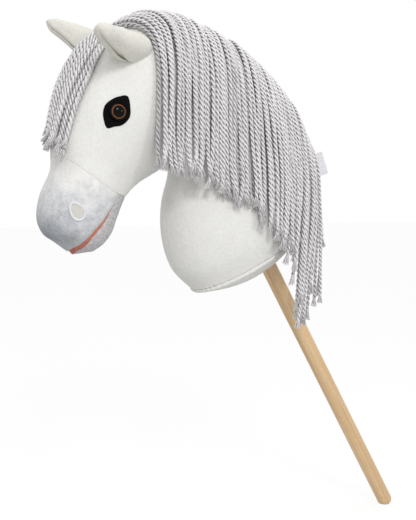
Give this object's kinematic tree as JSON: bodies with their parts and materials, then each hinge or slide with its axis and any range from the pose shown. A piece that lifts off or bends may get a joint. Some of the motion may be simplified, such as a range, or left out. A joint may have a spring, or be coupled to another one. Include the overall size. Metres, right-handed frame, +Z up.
{
  "type": "hobby horse",
  "caption": "Stuffed plush hobby-horse head with felt-backed eyes, stand-up ears, a yarn mane and forelock, on a round wooden stick.",
  "frame": {"origin": "Centre of the small flat on the foot end of the stick.", "axes": "+Z is up with the stick leaning back as it is ridden. The horse looks along -X. Its left side, where the mane hangs, is -Y. The middle plane of the head is Y = 0."},
  "size_m": [0.4632, 0.146, 0.5774],
  "materials": {
    "white_plush": "short white pile",
    "grey_plush": "mottled blue-grey pile",
    "chin_plush": "light heather grey pile",
    "mouth_felt": "salmon felt",
    "cream_plush": "short cream pile",
    "black_felt": "matte felt",
    "eye_plastic": "polished dome with a brown ring",
    "washer_plastic": "moulded",
    "white_thread": "satin stitch",
    "grey_yarn": "twisted silver-grey cord",
    "white_ribbon": "thin satin ribbon",
    "beech": "sanded and clear lacquered",
    "cotton": "plain weave",
    "wadding": "polyester fibre"
  },
  "bodies": {
    "head": {"stick": "beech", "stick_end_cap": "washer_plastic", "stick_sleeve": "cotton", "sleeve_tie": "washer_plastic", "neck_panel_left": "white_plush", "neck_panel_right": "white_plush", "head_panel_left": "white_plush", "head_panel_right": "white_plush", "base_panel": "white_plush", "muzzle_panel": "grey_plush", "chin_panel": "chin_plush", "mouth_lining": "mouth_felt", "nostril_left": "cream_plush", "nostril_right": "cream_plush", "nostril_border_left": "white_thread", "nostril_border_right": "white_thread", "eye_patch_left": "black_felt", "eye_patch_right": "black_felt", "eye_left": "eye_plastic", "eye_right": "eye_plastic", "eye_washer_left": "washer_plastic", "eye_washer_right": "washer_plastic", "stuffing_neck": "wadding", "stuffing_head": "wadding", "stuffing_muzzle": "wadding", "mane_tape": "cotton", "label": "white_ribbon"},
    "ear_left": {"ear_outer_left": "cream_plush", "ear_lining_left": "cream_plush"},
    "ear_right": {"ear_outer_right": "cream_plush", "ear_lining_right": "cream_plush"},
    "forelock": {"forelock_lock_1": "grey_yarn", "forelock_lock_2": "grey_yarn"},
    "mane_1": {"mane_lock_1": "grey_yarn", "mane_lock_2": "grey_yarn"},
    "mane_2": {"mane_lock_3": "grey_yarn", "mane_lock_4": "grey_yarn"},
    "mane_3": {"mane_lock_5": "grey_yarn", "mane_lock_6": "grey_yarn"},
    "mane_4": {"mane_lock_7": "grey_yarn", "mane_lock_8": "grey_yarn"}
  },
  "joints": [
    {"name": "ear_left_fold", "type": "hinge", "parent": "head", "child": "ear_left", "pos_m": [-0.36792, -0.02648, 0.54525], "axis": [-0.6217, 0.7812, -0.0563], "range_deg": [0, 25], "stiffness_Nm_per_rad": 0.02},
    {"name": "ear_right_fold", "type": "hinge", "parent": "head", "child": "ear_right", "pos_m": [-0.35014, 0.03698, 0.54207], "axis": [0.055, 0.8152, -0.5765], "range_deg": [0, 25], "stiffness_Nm_per_rad": 0.02},
    {"name": "forelock_swing", "type": "hinge", "parent": "head", "child": "forelock", "pos_m": [-0.37953, 0, 0.5543], "axis": [0, 1, 0], "range_deg": [0, 60]},
    {"name": "mane_1_swing", "type": "hinge", "parent": "head", "child": "mane_1", "pos_m": [-0.33053, 0, 0.57193], "axis": [-0.9957, 0, -0.0922], "range_deg": [0, 45]},
    {"name": "mane_2_swing", "type": "hinge", "parent": "head", "child": "mane_2", "pos_m": [-0.27587, 0, 0.56357], "axis": [-0.9564, 0, 0.2922], "range_deg": [0, 45]},
    {"name": "mane_3_swing", "type": "hinge", "parent": "head", "child": "mane_3", "pos_m": [-0.22165, 0, 0.53919], "axis": [-0.8466, 0, 0.5322], "range_deg": [0, 45]},
    {"name": "mane_4_swing", "type": "hinge", "parent": "head", "child": "mane_4", "pos_m": [-0.16734, 0, 0.4916], "axis": [-0.5945, 0, 0.8041], "range_deg": [0, 45]}
  ]
}
